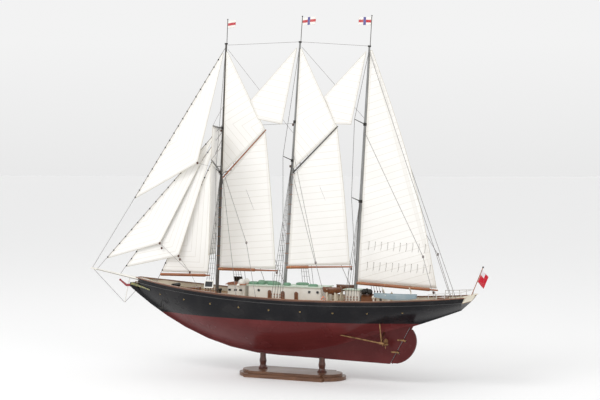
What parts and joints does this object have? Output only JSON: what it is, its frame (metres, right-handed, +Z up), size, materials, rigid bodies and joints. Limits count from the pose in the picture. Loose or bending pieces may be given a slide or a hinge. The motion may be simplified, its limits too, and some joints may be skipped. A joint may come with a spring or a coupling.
{
  "type": "model sailing ship",
  "caption": "Display model of a three-masted topsail schooner under full sail, with black and red hull, rigging and deck fittings, on a varnished wooden stand.",
  "frame": {"origin": "middle of the stand's underside", "axes": "-X towards the bow, -Y to port, +Z up"},
  "size_m": [0.6298, 0.1368, 0.514],
  "materials": {
    "stand_wood": "dark varnish, satin to gloss",
    "hull_paint": "gloss enamel on wood: black above the waterline, dark red below",
    "black_paint": "gloss enamel on wood",
    "deck_wood": "bare laid planks, satin",
    "varnished_wood": "varnished, satin",
    "mast_paint": "painted grey, worn, satin",
    "white_paint": "painted white, satin",
    "green_paint": "painted, matt",
    "green_gilt": "painted green with gilt edges",
    "orange_paint": "painted ring, matt",
    "brass": "polished, a little dull",
    "bronze": "dull cast bronze",
    "black_metal": "blackened fittings",
    "white_metal": "painted wire",
    "sailcloth": "stiff fine cotton with sewn seams",
    "flag_cloth": "printed cotton",
    "rigging_cord": "waxed thread"
  },
  "bodies": {
    "ship": {"stand_base_lower": "stand_wood", "stand_base_upper": "stand_wood", "pedestals": "stand_wood", "stand_screws": "brass", "hull_body": "hull_paint", "keel": "hull_paint", "deck": "deck_wood", "bulwark_port": "black_paint", "bulwark_starboard": "black_paint", "transom_board": "black_paint", "cap_rails": "varnished_wood", "rubbing_strips": "black_paint", "rudder_gudgeons": "brass", "shafts_and_brackets": "bronze", "bowsprit": "mast_paint", "dolphin_striker": "black_metal", "bow_carving": "green_gilt", "anchors": "black_metal", "fore_mast": "mast_paint", "main_mast": "mast_paint", "mizzen_mast": "mast_paint", "mast_fittings": "black_metal", "flag_staffs": "varnished_wood", "booms": "varnished_wood", "gaffs": "varnished_wood", "yards": "varnished_wood", "sail_jib_topsail": "sailcloth", "sail_outer_jib": "sailcloth", "sail_inner_jib": "sailcloth", "sail_fore_staysail": "sailcloth", "sail_fore": "sailcloth", "sail_main": "sailcloth", "sail_mizzen": "sailcloth", "sail_gaff_topsails": "sailcloth", "sail_fishermen": "sailcloth", "sail_square_topsail": "sailcloth", "sail_square_course": "sailcloth", "flags": "flag_cloth", "shrouds": "rigging_cord", "backstays": "rigging_cord", "stays": "rigging_cord", "running_lines": "rigging_cord", "deadeyes": "black_metal", "deckhouses": "white_paint", "house_roofs": "green_paint", "house_doors": "varnished_wood", "port_lights": "brass", "boats": "white_paint", "boat_chocks_and_davits": "varnished_wood", "steering_stand": "varnished_wood", "deck_winches": "black_metal", "hatches_and_skylight": "varnished_wood", "cowl_vents": "white_paint", "life_rings": "orange_paint", "light_boards": "white_paint", "guard_rail": "white_metal"},
    "rudder": {"rudder": "hull_paint"},
    "propeller_port": {"propeller_port": "bronze"},
    "propeller_starboard": {"propeller_starboard": "bronze"},
    "steering_wheel": {"steering_wheel": "varnished_wood"}
  },
  "joints": [
    {"name": "rudder_turn", "type": "hinge", "parent": "ship", "child": "rudder", "pos_m": [0.15205, 0, 0.027], "axis": [0.4893, 0, 0.8721], "range_deg": [-35, 35]},
    {"name": "propeller_port_spin", "type": "hinge", "parent": "ship", "child": "propeller_port", "pos_m": [0.1483, -0.016, 0.056], "axis": [0.9903, 0, -0.1386], "continuous": true},
    {"name": "propeller_starboard_spin", "type": "hinge", "parent": "ship", "child": "propeller_starboard", "pos_m": [0.1483, 0.016, 0.056], "axis": [0.9903, 0, -0.1386], "continuous": true},
    {"name": "steering_wheel_spin", "type": "hinge", "parent": "ship", "child": "steering_wheel", "pos_m": [0.15151, 0, 0.12021], "axis": [1, 0, 0], "continuous": true}
  ]
}
